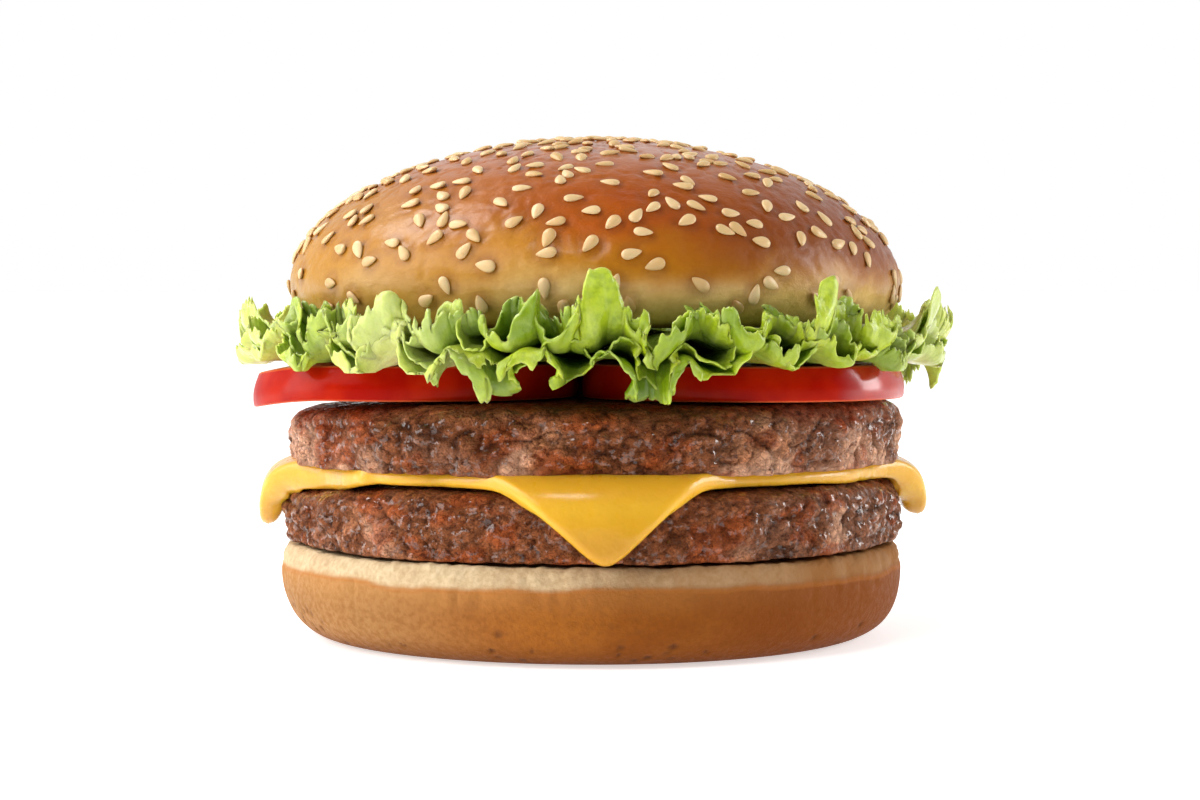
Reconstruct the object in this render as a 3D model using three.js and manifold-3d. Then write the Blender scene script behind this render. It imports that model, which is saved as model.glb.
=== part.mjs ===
// A double cheeseburger standing on its own flat base, in millimetres with +Z up.
// The origin is the centre of the base. The front, where a corner of the cheese hangs, faces -Y.
// From the bottom up: the bun's heel, a patty, a square slice of cheese, a second patty, three tomato
// slices side by side, six lettuce leaves in two layers, and the bun's crown with its sesame seeds.

import * as THREE from "three";
import { mergeVertices } from "three/addons/utils/BufferGeometryUtils.js";
import Module from "manifold-3d";

const wasm = await Module();
wasm.setup();

// Driving dimensions. Layers that lie on each other keep REST_GAP between them.
const REST_GAP = 0.3;
const HEEL = { radius: 50.6, height: 15.6, wideHeight: 12.2, baseRadius: 40, rimRadius: 48.8, power: 2.5 };
const PATTY = {
  radius: 51.6,
  thickness: 10.3,
  topRadius: 45.3,
  topPower: 2.5,
  baseRadius: 46.5,
  basePower: 3.2,
  crag: 2.4,
  cragSize: 5.6,
  thin: 1.9,
};
const CHEESE = {
  side: 89,
  thickness: 1.8,
  hangThickness: 2.6,
  hangStart: 52,
  hangEnd: 59,
  meltRadius: 48,
  bendStart: 47.5,
  bendRadius: 5.9,
  turn: 2,
};
const TOMATO = { thickness: 5.3, taper: 0.7, bevel: 0.5 };
const LEAF = {
  thickness: 0.9,
  innerRadius: 10,
  span: 114,
  bendRadius: 51.4,
  frill: 12,
  flare: 0.58,
  ripple: 0.9,
  lowCrumple: 0.9,
  highCrumple: 1.7,
};
const CROWN = {
  radius: 49.7,
  baseRadius: 41.5,
  basePower: 2.2,
  wideHeight: 7.1,
  height: 30.2,
  domePower: 1.92,
};
const SEED = { length: 4, width: 2.6, thickness: 1.4, count: 97, proud: 0.12, smallest: 0.88 };

// How finely each round or sheet is faceted
const FACETS = { heel: 48, patty: 60, tomato: 26, crown: 40, leaf: 34, cheese: 14 };

// Heights where each layer begins
const LOWER_PATTY_Z = HEEL.height + REST_GAP;
const CHEESE_Z = LOWER_PATTY_Z + PATTY.thickness + REST_GAP;
const UPPER_PATTY_Z = CHEESE_Z + CHEESE.thickness + REST_GAP;
const TOMATO_Z = UPPER_PATTY_Z + PATTY.thickness + REST_GAP;
const LETTUCE_Z = TOMATO_Z + TOMATO.thickness + REST_GAP;
const LETTUCE_DEPTH = 5.5;
const CROWN_Z = LETTUCE_Z + LETTUCE_DEPTH;

// Each tomato slice: its middle, its radius and how far its left end sags past the patty
const SLICES = {
  tomato_left: { x: -28, y: -13, radius: 25.9, sag: 1.8 },
  tomato_right: { x: 23.6, y: -16, radius: 25.5, sag: 0 },
  tomato_back: { x: 0, y: 31.5, radius: 25.6, sag: 0 },
};

// Each lettuce leaf: the azimuth of its middle in degrees, its layer, and on the lower layer how
// strongly its lobes hang at its two ends
const LEAVES = {
  lettuce_low_left: { middle: -60, upper: false, hang: [0.1, 1] },
  lettuce_low_right: { middle: 60, upper: false, hang: [1, 1] },
  lettuce_low_back: { middle: 180, upper: false, hang: [0.8, 0.8] },
  lettuce_high_front: { middle: 0, upper: true, hang: [0, 0] },
  lettuce_high_right: { middle: 120, upper: true, hang: [0, 0] },
  lettuce_high_left: { middle: -120, upper: true, hang: [0, 0] },
};

const finish = (color, roughness) => new THREE.MeshStandardMaterial({ color, roughness, metalness: 0 });
const crust = finish(0xb8702c, 0.32);
const heelCrust = finish(0xb57838, 0.7);
const meat = finish(0x7a4a30, 0.55);
const cheese = finish(0xe0a520, 0.3);
const tomato = finish(0xb82010, 0.2);
const lettuce = finish(0x8fb02c, 0.45);

const radians = THREE.MathUtils.degToRad;
const { clamp, lerp, smoothstep } = THREE.MathUtils;

// Azimuth is measured from the front, -Y, and is positive to the right, +X.
const around = (azimuth, radius, z) =>
  new THREE.Vector3(radius * Math.sin(azimuth), -radius * Math.cos(azimuth), z);
const azimuthOf = (p) => Math.atan2(p.x, -p.y);

// Smooth noise from 0 to 1, the same on every run
function lattice(i, j, k) {
  const s = Math.sin(i * 127.1 + j * 311.7 + k * 74.7) * 43758.5453;
  return s - Math.floor(s);
}

function noise(x, y, z) {
  const [i, j, k] = [Math.floor(x), Math.floor(y), Math.floor(z)];
  const [u, v, w] = [smoothstep(x - i, 0, 1), smoothstep(y - j, 0, 1), smoothstep(z - k, 0, 1)];
  const along = (dj, dk) => lerp(lattice(i, j + dj, k + dk), lattice(i + 1, j + dj, k + dk), u);
  return lerp(lerp(along(0, 0), along(1, 0), v), lerp(along(0, 1), along(1, 1), v), w);
}

// Merges shared vertices and drops the triangles that this leaves without area.
function welded(geometry) {
  for (const name of ["normal", "uv"]) geometry.deleteAttribute(name);
  const merged = mergeVertices(geometry, 1e-3);
  const corners = merged.index.array;
  const kept = [];
  for (let i = 0; i < corners.length; i += 3) {
    const [a, b, c] = corners.subarray(i, i + 3);
    if (a !== b && b !== c && c !== a) kept.push(a, b, c);
  }
  merged.setIndex(kept);
  return merged;
}

// A closed body turned about Z from a profile of (radius, height) points, then reshaped point by point
function turned(profile, segments, reshape) {
  const geometry = welded(new THREE.LatheGeometry(profile, segments).rotateX(Math.PI / 2));
  const places = geometry.attributes.position;
  const p = new THREE.Vector3();
  for (let i = 0; i < places.count; i++) {
    reshape(p.fromBufferAttribute(places, i));
    places.setXYZ(i, p.x, p.y, p.z);
  }
  geometry.computeVertexNormals();
  return geometry;
}

const at = (radius, height) => new THREE.Vector2(radius, height);

// Moves a point away from the Z axis, or towards it where factor is under 1
function widen(p, factor) {
  p.x *= factor;
  p.y *= factor;
}

// A quarter of a superellipse, from the edge of a flat face to the widest point
function shoulder(flat, wide, power, steps) {
  return Array.from({ length: steps + 1 }, (_, i) => {
    const turn = ((i / steps) * Math.PI) / 2;
    return at(
      lerp(flat.x, wide.x, Math.sin(turn) ** (2 / power)),
      lerp(wide.y, flat.y, Math.cos(turn) ** (2 / power)),
    );
  });
}

// Heel: a flat base, a swelling side and a soft rim where the bun was cut
function heelGeometry() {
  const wide = at(HEEL.radius, HEEL.wideHeight);
  const profile = [
    at(0, 0),
    ...shoulder(at(HEEL.baseRadius, 0), wide, HEEL.power, 5),
    ...shoulder(at(HEEL.rimRadius, HEEL.height), wide, 2, 2).reverse().slice(1),
    at(0, HEEL.height),
  ];
  return turned(profile, FACETS.heel, (p) => {
    const azimuth = azimuthOf(p);
    widen(p, 1 - 0.01 * Math.sin(azimuth) + 0.003 * Math.sin(2 * azimuth) + 0.002 * Math.sin(5 * azimuth));
  });
}

// Patty: a disc with round edges whose side is broken into crags, cut inwards from the smooth disc.
// Its left edge is pressed a little thinner.
function pattyGeometry(base, shift) {
  const middle = base + PATTY.thickness / 2;
  const wide = at(PATTY.radius, middle);
  const low = shoulder(at(PATTY.baseRadius, base), wide, PATTY.basePower, 4);
  const high = shoulder(at(PATTY.topRadius, base + PATTY.thickness), wide, PATTY.topPower, 4).reverse();
  const profile = [at(0, base), ...low, ...high.slice(1), at(0, base + PATTY.thickness)];
  return turned(profile, FACETS.patty, (p) => {
    const radius = Math.hypot(p.x, p.y);
    const edge = smoothstep(radius, 38, PATTY.radius);
    p.z -= PATTY.thin * smoothstep(-p.x, 22, 54) * clamp((p.z - base) / PATTY.thickness, 0, 1);
    const lump = noise(p.x / PATTY.cragSize + shift, p.y / PATTY.cragSize, p.z / 4 + shift);
    const wobble = 0.25 * (1 + Math.sin(3 * azimuthOf(p) + shift));
    widen(p, 1 - (edge * (PATTY.crag * lump + wobble)) / Math.max(radius, 1));
    p.z = lerp(p.z, middle, 0.12 * edge * noise(p.x / 9, p.y / 9 + shift, 0));
  });
}

// How far the cheese reaches from its middle along its own surface: a square whose sides have melted
// outwards and whose corners are round. The front corner has run furthest, the right one least.
function cheeseReach(azimuth) {
  const turn = azimuth - radians(CHEESE.turn) - Math.PI / 4;
  const square = (Math.abs(Math.cos(turn)) ** 36 + Math.abs(Math.sin(turn)) ** 36) ** (-1 / 36);
  const melted = CHEESE.meltRadius + 0.6 * Math.sin(7 * azimuth + 1);
  const run = 0.985 + 0.015 * Math.cos(2 * azimuth) + 0.011 * (Math.cos(azimuth) - Math.sin(azimuth));
  return (((CHEESE.side / 2) * square * run) ** 14 + melted ** 14) ** (1 / 14);
}

// The length along the cheese from its middle, and the azimuth, of a point of the square slice.
// u and v run from 0 to 1 along its sides, closer together near them.
function cheesePath(u, v) {
  const spread = (t) => Math.sin((t - 0.5) * 2.4) / Math.sin(1.2);
  const corner = new THREE.Vector2(spread(u), spread(v)).multiplyScalar(CHEESE.side / 2);
  const length = Math.max(corner.length(), 1e-3);
  const squareReach = length / Math.max(Math.abs(spread(u)), Math.abs(spread(v)), 1e-4);
  const azimuth = corner.angle() + radians(CHEESE.turn) + Math.PI / 4;
  const melting = lerp(1, cheeseReach(azimuth) / squareReach, smoothstep(length, 0, 40));
  return { azimuth, path: length * melting };
}

// Cheese: the slice lies flat, turns over the lower patty's edge and hangs down at its four corners.
function cheesePoint(u, v) {
  const { azimuth, path } = cheesePath(u, v);
  const { bendStart, bendRadius, thickness } = CHEESE;
  const bend = clamp((path - bendStart) / bendRadius, 0, Math.PI / 2);
  const drop = Math.max(path - bendStart - (bendRadius * Math.PI) / 2, 0);
  const radius = Math.min(path, bendStart) + bendRadius * Math.sin(bend);
  const z = CHEESE_Z + thickness / 2 - bendRadius * (1 - Math.cos(bend)) - drop;
  return around(azimuth, radius, z);
}

function cheeseThickness(u, v) {
  const hanging = smoothstep(cheesePath(u, v).path, CHEESE.hangStart, CHEESE.hangEnd);
  const rim = Math.min(u, v, 1 - u, 1 - v) < 0.01 ? 0.6 : 1;
  return rim * lerp(CHEESE.thickness, CHEESE.hangThickness, hanging);
}

function cheeseGeometry() {
  const stations = Array.from({ length: FACETS.cheese + 1 }, (_, i) => i / FACETS.cheese);
  return sheetGeometry(FACETS.cheese, stations, cheesePoint, cheeseThickness);
}

// Tomato slice: a disc with a bevelled skin, cut where the fruit narrows towards its top
function tomatoGeometry({ radius, sag }) {
  const { thickness, taper, bevel } = TOMATO;
  const profile = [
    at(0, 0),
    at(radius - bevel, 0),
    at(radius, bevel),
    at(radius - taper, thickness - bevel),
    at(radius - taper - bevel, thickness),
    at(0, thickness),
  ];
  return turned(profile, FACETS.tomato, (p) => {
    widen(p, 1 - 0.012 * (1 + Math.cos(3 * azimuthOf(p) + radius)));
    p.z -= sag * clamp((-p.x / radius - 0.45) / 0.55, 0, 1) ** 2;
  });
}

// How far the tomato slices reach from the burger's axis at an azimuth
function tomatoEdge(azimuth) {
  const ray = around(azimuth, 1, 0);
  return Object.values(SLICES).reduce((edge, { x, y, radius }) => {
    const along = x * ray.x + y * ray.y;
    const aside = Math.abs(x * ray.y - y * ray.x);
    return aside < radius ? Math.max(edge, along + Math.sqrt(radius ** 2 - aside ** 2)) : edge;
  }, 0);
}

// Folds of the two layers, each from 0 to 1: standing lobes above, hanging lobes below
const standing = (azimuth) =>
  clamp(0.5 + 0.36 * Math.cos(9 * azimuth) + 0.22 * Math.cos(19 * azimuth + 1), 0, 1);
const hanging = (azimuth) =>
  clamp(0.5 + 0.4 * Math.cos(14 * (azimuth + radians(16))) + 0.2 * Math.cos(23 * azimuth + 2), 0, 1);
const crumple = (azimuth, radius, turns, phase) =>
  0.5 + 0.5 * Math.sin(turns * azimuth + phase) * Math.cos(radius / 6 + phase);

// The height of a leaf's middle surface where it lies between the tomato and the crown
function lyingHeight(azimuth, radius, upper) {
  const { thickness, lowCrumple, highCrumple } = LEAF;
  const low = LETTUCE_Z + thickness / 2 + 0.05 + lowCrumple * crumple(azimuth, radius, 7, 0.4);
  return upper ? low + thickness + 0.35 + highCrumple * crumple(azimuth, radius, 11, 2.1) : low;
}

// The middle surface of a leaf: across runs along its margin, out runs from its rib to its margin,
// both from 0 to 1. The outer half is the frill, which stands up or hangs down past the bun's edge.
function leafPoint({ middle, upper, hang }, across, out) {
  const azimuth = radians(middle + (across - 0.5) * LEAF.span);
  const radius = lerp(LEAF.innerRadius, LEAF.bendRadius, clamp(2 * out, 0, 1));
  const turn = (clamp(2 * out - 1, 0, 1) * Math.PI) / 2;
  const room = 1 - smoothstep(tomatoEdge(azimuth), 49, 51);
  const sideEnd = smoothstep(Math.min(across, 1 - across), -0.02, 0.1);
  const length = LEAF.frill * lerp(0.4, 1, sideEnd);
  const low = lerp(0.2, -0.6 * hanging(azimuth), room * lerp(...hang, across));
  const high = 0.32 + (0.65 - 0.2 * Math.sin(azimuth) ** 2) * standing(azimuth);
  const rise = length * (upper ? high : low);
  const ripple = LEAF.ripple * Math.sin(31 * azimuth);
  const reach = Math.sqrt(length ** 2 - rise ** 2) * LEAF.flare + ripple;
  const z = lyingHeight(azimuth, radius, upper) + rise * (1 - Math.cos(turn));
  return around(azimuth, radius + reach * Math.sin(turn), z);
}

// A thin closed sheet about a surface over u and v from 0 to 1. Both faces are split into the same
// triangles, whose slanting edges run round the sheet's middle.
function sheetGeometry(columns, stations, surface, thickness) {
  const rows = stations.length;
  const places = [];
  const side = new THREE.Vector3();
  const ahead = new THREE.Vector3();
  const step = 1e-3;
  for (const face of [0.5, -0.5]) {
    for (const v of stations) {
      for (let i = 0; i <= columns; i++) {
        const u = i / columns;
        side.subVectors(surface(u + step, v), surface(u - step, v));
        ahead.subVectors(surface(u, Math.min(v + step, 1)), surface(u, Math.max(v - step, 0)));
        const normal = side.cross(ahead).normalize();
        places.push(...surface(u, v).addScaledVector(normal, -face * thickness(u, v)));
      }
    }
  }
  const across = columns + 1;
  const back = across * rows;
  const corners = [];
  for (let r = 0; r < rows - 1; r++) {
    for (let c = 0; c < columns; c++) {
      const a = r * across + c;
      const [b, d, e] = [a + 1, a + across, a + across + 1];
      const outwards = c < columns / 2 === r < (rows - 1) / 2;
      const face = outwards ? [a, d, b, b, d, e] : [a, d, e, a, e, b];
      corners.push(...face, ...face.map((corner) => back + corner).reverse());
    }
  }
  const wall = (a, b) => corners.push(a, b, back + a, b, back + b, back + a);
  const last = across * (rows - 1);
  for (let c = 0; c < columns; c++) {
    wall(c, c + 1);
    wall(last + c + 1, last + c);
  }
  for (let r = 0; r < rows - 1; r++) {
    wall((r + 1) * across, r * across);
    wall(r * across + columns, (r + 1) * across + columns);
  }
  const geometry = new THREE.BufferGeometry();
  geometry.setAttribute("position", new THREE.Float32BufferAttribute(places, 3));
  geometry.setIndex(corners);
  geometry.computeVertexNormals();
  return geometry;
}

function leafGeometry(leaf) {
  const stations = [0, 0.42, 0.56, 0.78, 1];
  return sheetGeometry(FACETS.leaf, stations, (u, v) => leafPoint(leaf, u, v), () => LEAF.thickness);
}

// Crown: a flat cut face, a tucked lower edge and a dome that isn't quite even
const crownSwell = (azimuth, z) =>
  1 + 0.008 * Math.sin(2 * azimuth + 2.2) * Math.cos(z / 11) - 0.006 * Math.sin(3 * azimuth + 0.6);

function crownBody() {
  const wide = at(CROWN.radius, CROWN_Z + CROWN.wideHeight);
  const profile = [
    at(0, CROWN_Z),
    ...shoulder(at(CROWN.baseRadius, CROWN_Z), wide, CROWN.basePower, 4),
    ...shoulder(at(0, CROWN_Z + CROWN.height), wide, CROWN.domePower, 7).reverse().slice(1),
  ];
  return turned(profile, FACETS.crown, (p) => widen(p, crownSwell(azimuthOf(p), p.z)));
}

// A point on the dome: down runs from 0 at the top to 1 at the widest ring
function domePoint(azimuth, down) {
  const turn = (down * Math.PI) / 2;
  const rise = (CROWN.height - CROWN.wideHeight) * Math.cos(turn) ** (2 / CROWN.domePower);
  const z = CROWN_Z + CROWN.wideHeight + rise;
  const radius = CROWN.radius * Math.sin(turn) ** (2 / CROWN.domePower);
  return around(azimuth, radius * crownSwell(azimuth, z), z);
}

// Sesame seeds: tear drops lying on the dome, largest first, spread evenly by the additive sequence of
// the plastic number, the root of x cubed = x + 1
const PLASTIC = 1.324717957244746;

function seedGeometry(index) {
  const fraction = (x) => x - Math.floor(x);
  const azimuth = 2 * Math.PI * fraction(0.5 + (index + 1) / PLASTIC);
  const down = 0.97 * fraction(0.5 + (index + 1) / PLASTIC ** 2) ** 0.6 + 0.01;
  const step = 0.01;
  const middle = domePoint(azimuth, down);
  const east = domePoint(azimuth + step, down).sub(domePoint(azimuth - step, down)).normalize();
  const south = domePoint(azimuth, down + step).sub(domePoint(azimuth, down - step)).normalize();
  const normal = south.clone().cross(east).normalize();
  const heading = 2 * Math.PI * lattice(index, 3, 7);
  const long = east.multiplyScalar(Math.cos(heading)).addScaledVector(south, Math.sin(heading));
  const wide = long.clone().cross(normal).normalize();
  const size = lerp(1, SEED.smallest, index / SEED.count);
  const geometry = welded(new THREE.SphereGeometry(0.5, 6, 3));
  const places = geometry.attributes.position;
  const p = new THREE.Vector3();
  for (let i = 0; i < places.count; i++) {
    p.fromBufferAttribute(places, i);
    const pinch = 1 - 0.75 * p.y;
    const [x, y, z] = [p.y * SEED.length, p.x * SEED.width * pinch, p.z * SEED.thickness * pinch];
    p.copy(middle).addScaledVector(long, x * size).addScaledVector(wide, y * size);
    p.addScaledVector(normal, z * size + SEED.proud);
    places.setXYZ(i, p.x, p.y, p.z);
  }
  return geometry;
}

const solidOf = (geometry) =>
  new wasm.Manifold(
    new wasm.Mesh({
      numProp: 3,
      vertProperties: new Float32Array(geometry.attributes.position.array),
      triVerts: new Uint32Array(geometry.index.array),
    }),
  );

function crownGeometry() {
  const seeds = Array.from({ length: SEED.count }, (_, i) => solidOf(seedGeometry(i)));
  const fused = seeds.reduce((whole, seed) => whole.add(seed), solidOf(crownBody())).getMesh();
  const geometry = new THREE.BufferGeometry();
  geometry.setAttribute("position", new THREE.BufferAttribute(fused.vertProperties, 3));
  geometry.setIndex(new THREE.BufferAttribute(fused.triVerts, 1));
  geometry.computeVertexNormals();
  return geometry;
}

const burger = new THREE.Group();

function place(name, geometry, material) {
  const mesh = new THREE.Mesh(geometry, material);
  mesh.name = name;
  burger.add(mesh);
  return mesh;
}

place("heel_bun", heelGeometry(), heelCrust);
place("patty_lower", pattyGeometry(LOWER_PATTY_Z, 3.7), meat);
place("cheese_slice", cheeseGeometry(), cheese);
place("patty_upper", pattyGeometry(UPPER_PATTY_Z, 11.2), meat);
for (const [name, slice] of Object.entries(SLICES)) {
  const mesh = place(name, tomatoGeometry(slice), tomato);
  mesh.position.set(slice.x, slice.y, TOMATO_Z);
}
for (const [name, leaf] of Object.entries(LEAVES)) place(name, leafGeometry(leaf), lettuce);
place("crown_bun", crownGeometry(), crust);

export default burger;
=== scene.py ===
"""The looks of a double cheeseburger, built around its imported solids. Lengths are in millimetres until
a mesh is made, +Z is up and the front faces -Y. Azimuths run from the front, positive to the right."""

import itertools
import math

import bpy
import numpy as np
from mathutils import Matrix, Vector
from mathutils.kdtree import KDTree


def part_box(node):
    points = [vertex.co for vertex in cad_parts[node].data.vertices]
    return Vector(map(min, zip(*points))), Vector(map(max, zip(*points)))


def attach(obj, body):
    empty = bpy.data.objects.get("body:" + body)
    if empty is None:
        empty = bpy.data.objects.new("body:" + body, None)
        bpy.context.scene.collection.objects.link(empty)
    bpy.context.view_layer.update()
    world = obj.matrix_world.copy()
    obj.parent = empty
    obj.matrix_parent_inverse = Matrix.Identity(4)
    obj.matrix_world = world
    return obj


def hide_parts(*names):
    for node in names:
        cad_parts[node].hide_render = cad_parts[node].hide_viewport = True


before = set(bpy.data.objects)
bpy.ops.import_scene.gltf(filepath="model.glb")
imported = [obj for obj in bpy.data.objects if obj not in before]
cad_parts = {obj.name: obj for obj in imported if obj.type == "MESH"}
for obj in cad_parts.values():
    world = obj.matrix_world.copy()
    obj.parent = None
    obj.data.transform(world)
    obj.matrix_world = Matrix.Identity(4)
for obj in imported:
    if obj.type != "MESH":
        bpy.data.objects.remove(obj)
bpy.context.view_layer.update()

MM = 0.001
SEAT_GAP = 0.3


def top_of(node):
    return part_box(node)[1].z / MM


def base_of(node):
    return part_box(node)[0].z / MM


# Sizes of the solids, read from the frame where a layer's height is concerned
HEEL_TOP = top_of("heel_bun")
LOWER_PATTY = (base_of("patty_lower"), top_of("patty_lower"))
UPPER_PATTY = (base_of("patty_upper"), top_of("patty_upper"))
CHEESE_Z = top_of("cheese_slice")
TOMATO_Z = base_of("tomato_right")
LETTUCE_Z = TOMATO_Z + 5.3 + SEAT_GAP
CROWN_Z = base_of("crown_bun")
SLICES = {
    "tomato_left": (-28, -13, 25.9, 1.8),
    "tomato_right": (23.6, -16, 25.5, 0),
    "tomato_back": (0, 31.5, 25.6, 0),
}
LEAVES = {
    "lettuce_low_left": (-60, False, (0.1, 1)),
    "lettuce_low_right": (60, False, (1, 1)),
    "lettuce_low_back": (180, False, (0.8, 0.8)),
    "lettuce_high_front": (0, True, (0, 0)),
    "lettuce_high_right": (120, True, (0, 0)),
    "lettuce_high_left": (-120, True, (0, 0)),
}


# Numbers


def lerp(a, b, t):
    return a + (b - a) * t


def smooth(x, low, high):
    t = np.clip((x - low) / (high - low), 0, 1)
    return t * t * (3 - 2 * t)


def lattice(i, j, k):
    s = np.sin(i * 127.1 + j * 311.7 + k * 74.7) * 43758.5453
    return s - np.floor(s)


def noise(x, y, z):
    """Smooth noise from 0 to 1 with lumps about 1 across."""
    x, y, z = np.broadcast_arrays(x, y, z)
    i, j, k = np.floor(x), np.floor(y), np.floor(z)
    u, v, w = smooth(x - i, 0, 1), smooth(y - j, 0, 1), smooth(z - k, 0, 1)

    def along(dj, dk):
        return lerp(lattice(i, j + dj, k + dk), lattice(i + 1, j + dj, k + dk), u)

    return lerp(lerp(along(0, 0), along(1, 0), v), lerp(along(0, 1), along(1, 1), v), w)


def layered(p, size, octaves=3, salt=0.0):
    """Noise from 0 to 1 of points p. Its largest lumps are size across, each octave half as large."""
    total, weight = 0.0, 0.0
    for octave in range(octaves):
        share = 0.5**octave
        q = p / (size * share) + salt + 17.3 * octave
        total = total + share * noise(q[..., 0], q[..., 1], q[..., 2])
        weight += share
    return total / weight


def grains(p, size, salt=0.0):
    """Distances from each point to the nearest and the second nearest of scattered centres, in sizes."""
    q = p / size + salt
    low = np.floor(q)
    first = np.full(q.shape[:-1], 9.0)
    second = first.copy()
    for step in itertools.product((-1, 0, 1), repeat=3):
        cell = low + step
        i, j, k = cell[..., 0], cell[..., 1], cell[..., 2]
        jitter = np.stack([lattice(i, j, k), lattice(i + 31, j, k), lattice(i, j + 57, k)], axis=-1)
        distance = np.linalg.norm(q - cell - jitter, axis=-1)
        second = np.minimum(second, np.maximum(first, distance))
        first = np.minimum(first, distance)
    return first, second


def around(azimuth, radius, z):
    azimuth, radius, z = np.broadcast_arrays(azimuth, radius, z)
    return np.stack([radius * np.sin(azimuth), -radius * np.cos(azimuth), z], axis=-1)


def azimuth_of(p):
    return np.arctan2(p[..., 0], -p[..., 1])


def radius_of(p):
    return np.hypot(p[..., 0], p[..., 1])


def unit(v):
    return v / np.maximum(np.linalg.norm(v, axis=-1, keepdims=True), 1e-9)


def across_grid(surface):
    """The directions that a grid of points faces."""
    return unit(np.cross(np.gradient(surface, axis=1), np.gradient(surface, axis=0)))


# Meshes


def make_piece(name, points, faces, values=None):
    """A smooth-shaded mesh of points in millimetres, with one number per point for each name in values."""
    mesh = bpy.data.meshes.new(name)
    mesh.from_pydata((np.asarray(points) * MM).tolist(), [], faces)
    mesh.polygons.foreach_set("use_smooth", [True] * len(mesh.polygons))
    for key, numbers in (values or {}).items():
        attribute = mesh.attributes.new(key, "FLOAT", "POINT")
        attribute.data.foreach_set("value", np.asarray(numbers, np.float32).ravel())
    mesh.validate()
    piece = bpy.data.objects.new(name, mesh)
    bpy.context.scene.collection.objects.link(piece)
    return piece


def dress(piece, material, slot, *nodes):
    piece.data.materials.append(material)
    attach(piece, "root")
    if nodes:
        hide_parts(*nodes)


def shoulder(flat, wide, power, steps=24):
    """A quarter of a superellipse, from the edge of a flat face to the widest point."""
    turn = np.linspace(0, math.pi / 2, steps + 1)
    radius = lerp(flat[0], wide[0], np.sin(turn) ** (2 / power))
    height = lerp(wide[1], flat[1], np.cos(turn).clip(0) ** (2 / power))
    return list(zip(radius, height))


def evenly(profile, spacing):
    """The profile again, with points at about the given spacing along it."""
    profile = np.array(profile, float)
    steps = np.linalg.norm(np.diff(profile, axis=0), axis=1)
    length = np.concatenate([[0], np.cumsum(steps)])
    wanted = np.linspace(0, length[-1], max(2, int(round(length[-1] / spacing))) + 1)
    return np.stack([np.interp(wanted, length, profile[:, c]) for c in range(2)], axis=-1)


def turned(profile, segments):
    """Rings of points (ring, segment, 3), their outward normals, and the faces of the closed body.
    The profile's first and last points are on the axis: each becomes one pole, stored last."""
    azimuth = np.linspace(0, 2 * math.pi, segments, endpoint=False)
    tangent = unit(np.gradient(profile, axis=0))
    rings = profile[1:-1]
    points = around(azimuth[None, :], rings[:, :1], rings[:, 1:])
    normals = around(azimuth[None, :], tangent[1:-1, 1:], -tangent[1:-1, :1])
    count = len(rings)
    grid = np.arange(count * segments).reshape(count, segments)
    right = np.roll(grid, -1, axis=1)
    quads = np.stack([grid[:-1], right[:-1], right[1:], grid[1:]], axis=-1).reshape(-1, 4)
    low, high = count * segments, count * segments + 1
    fans = [(low, b, a) for a, b in zip(grid[0], right[0])]
    fans += [(high, a, b) for a, b in zip(grid[-1], right[-1])]
    poles = np.array([[0, 0, profile[0][1]], [0, 0, profile[-1][1]]])
    return points, normals, poles, quads.tolist() + [tuple(map(int, f)) for f in fans]


def widened(points, factor):
    """The points, with their distances from the axis multiplied."""
    return points * np.stack([factor, factor, np.ones_like(factor)], axis=-1)


def make_turned(name, points, poles, faces, values):
    """A piece of a turned body's rings and poles. Each pole gets the mean number of the ring beside it."""
    numbers = {
        key: np.concatenate([value.ravel(), [value[0].mean(), value[-1].mean()]])
        for key, value in values.items()
    }
    return make_piece(name, np.concatenate([points.reshape(-1, 3), poles]), faces, numbers)


def sheet(middle, under, over):
    """A closed sheet about a grid of middle points (row, column, 3). Its two faces lie off the middle by
    the given amounts, the upper one on the side that cross(column step, row step) points to. They share
    the points of the rim."""
    normal = across_grid(middle)
    rows, columns = middle.shape[:2]
    low = middle - normal * under[..., None]
    high = middle + normal * over[..., None]
    grid = np.arange(rows * columns).reshape(rows, columns)
    inner = np.zeros((rows, columns), bool)
    inner[1:-1, 1:-1] = True
    other = grid.copy()
    other[inner] = rows * columns + np.arange(inner.sum())

    def quads(index):
        corners = [index[:-1, :-1], index[:-1, 1:], index[1:, 1:], index[1:, :-1]]
        return np.stack(corners, axis=-1).reshape(-1, 4)

    faces = quads(grid).tolist() + quads(other)[:, ::-1].tolist()
    points = np.concatenate([low.reshape(-1, 3), high[inner]])
    return points, faces, inner


def sheet_values(values, inner):
    return np.concatenate([values.ravel(), values[inner]])


# Materials


class Nodes:
    """Short calls for the nodes of one tree."""

    def __init__(self, tree):
        self.tree = tree

    def node(self, kind, inputs=None, **settings):
        node = self.tree.nodes.new(kind)
        for key, value in settings.items():
            setattr(node, key, value)
        for key, value in (inputs or {}).items():
            self.join(value, node.inputs[key])
        return node

    def join(self, value, socket):
        if isinstance(value, bpy.types.NodeSocket):
            self.tree.links.new(value, socket)
        else:
            socket.default_value = value

    def span(self, value, low, high, to_low=0.0, to_high=1.0):
        inputs = {"Value": value, "From Min": low, "From Max": high, "To Min": to_low, "To Max": to_high}
        node = self.node("ShaderNodeMapRange", inputs, interpolation_type="SMOOTHSTEP")
        return node.outputs["Result"]

    def math(self, operation, a, b):
        return self.node("ShaderNodeMath", {0: a, 1: b}, operation=operation).outputs[0]


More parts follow.
